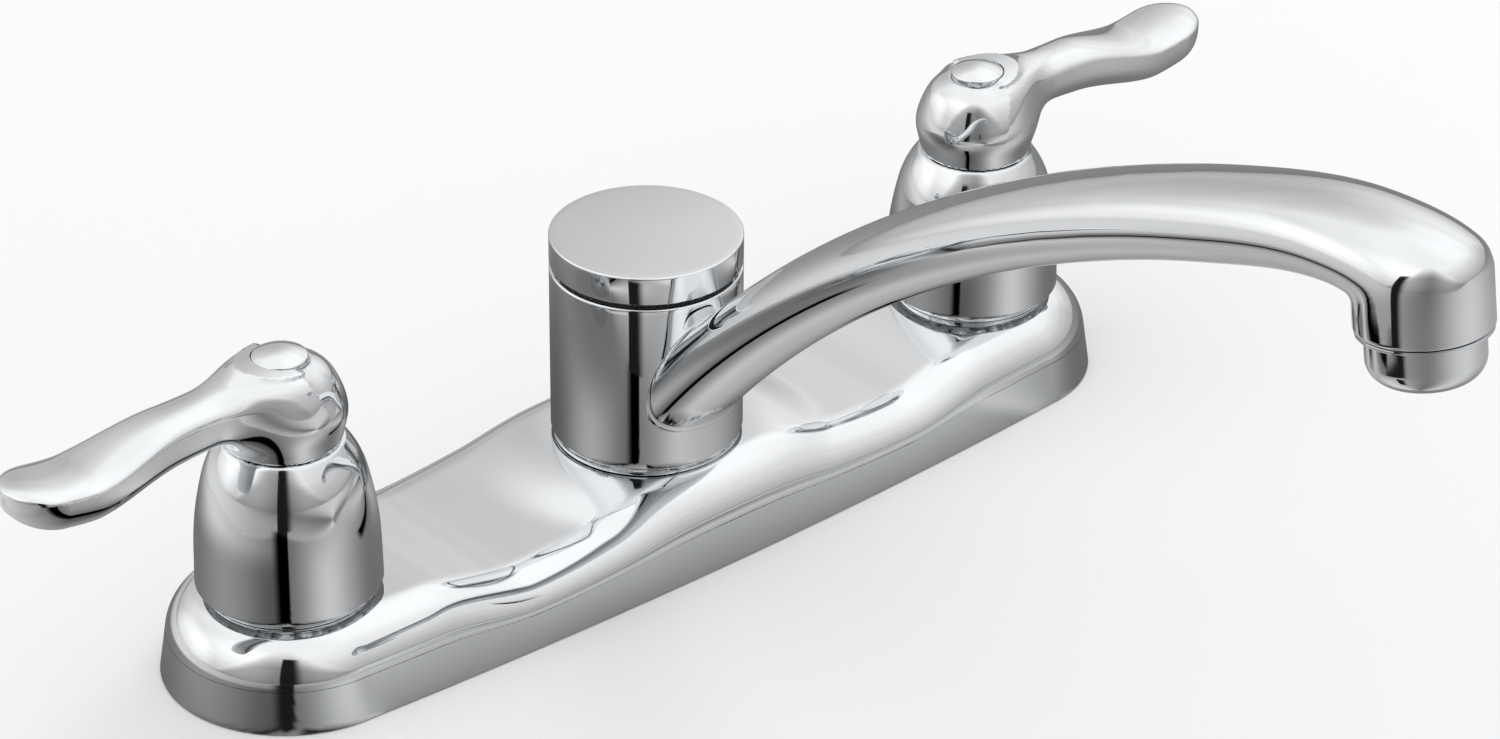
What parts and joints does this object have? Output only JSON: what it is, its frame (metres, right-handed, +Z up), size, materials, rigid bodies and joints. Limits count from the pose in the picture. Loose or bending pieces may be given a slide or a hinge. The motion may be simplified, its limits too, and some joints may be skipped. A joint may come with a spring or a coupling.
{
  "type": "two handle kitchen faucet",
  "caption": "Deck mounted kitchen faucet with a chrome base plate, bell shaped valve covers, lever handles and an arched swivel spout",
  "frame": {"origin": "centre of the deck plate's underside, on the sink deck, midway between the valve axes", "axes": "+Z up along the spout's swivel axis, X along the deck plate with the cold valve at +X, the spout points to -Y at rest"},
  "size_m": [0.3442, 0.2724, 0.2251],
  "materials": {
    "chrome_plate": "polished",
    "chrome_trim": "polished",
    "chrome_spout": "polished",
    "chrome_bonnet": "polished",
    "chrome_handle": "polished",
    "chrome_button": "polished",
    "brass": "machined",
    "copper": "drawn tube",
    "steel": "plain",
    "black_rubber": "matte",
    "white_plastic": "moulded",
    "grey_plastic": "moulded",
    "dark_plastic": "moulded",
    "ceramic": "lapped"
  },
  "bodies": {
    "deck": {"deck_plate": "chrome_plate", "hub_base_ring": "chrome_trim", "base_gasket": "black_rubber", "post_o_rings": "black_rubber", "centre_body": "brass", "post_nut": "brass", "post_washer": "white_plastic", "hot_shank": "brass", "hot_lock_nut": "white_plastic", "hot_deck_washer": "dark_plastic", "hot_valve_body": "brass", "hot_cross_tube": "copper", "hot_cartridge": "white_plastic", "hot_seat_disc": "ceramic", "hot_cartridge_nut": "brass", "hot_base_ring": "chrome_trim", "hot_bonnet": "chrome_bonnet", "cold_shank": "brass", "cold_lock_nut": "white_plastic", "cold_deck_washer": "dark_plastic", "cold_valve_body": "brass", "cold_cross_tube": "copper", "cold_cartridge": "white_plastic", "cold_seat_disc": "ceramic", "cold_cartridge_nut": "brass", "cold_base_ring": "chrome_trim", "cold_bonnet": "chrome_bonnet"},
    "spout": {"spout": "chrome_spout", "spout_cap": "chrome_spout", "cap_seal": "black_rubber", "aerator_housing": "chrome_trim", "aerator_grid": "grey_plastic", "aerator_washer": "black_rubber"},
    "hot_handle": {"hot_handle": "chrome_handle", "hot_stem": "brass", "hot_rotor_disc": "ceramic", "hot_handle_screw": "steel", "hot_index_button": "chrome_button"},
    "cold_handle": {"cold_handle": "chrome_handle", "cold_stem": "brass", "cold_rotor_disc": "ceramic", "cold_handle_screw": "steel", "cold_index_button": "chrome_button"}
  },
  "joints": [
    {"name": "spout_swivel", "type": "hinge", "parent": "deck", "child": "spout", "pos_m": [0, 0, 0.04], "axis": [0, 0, 1], "continuous": true},
    {"name": "hot_handle_turn", "type": "hinge", "parent": "deck", "child": "hot_handle", "pos_m": [-0.1016, 0, 0.06], "axis": [0, 0, 1], "range_deg": [0, 90]},
    {"name": "cold_handle_turn", "type": "hinge", "parent": "deck", "child": "cold_handle", "pos_m": [0.1016, 0, 0.06], "axis": [0, 0, 1], "range_deg": [-90, 0]}
  ]
}
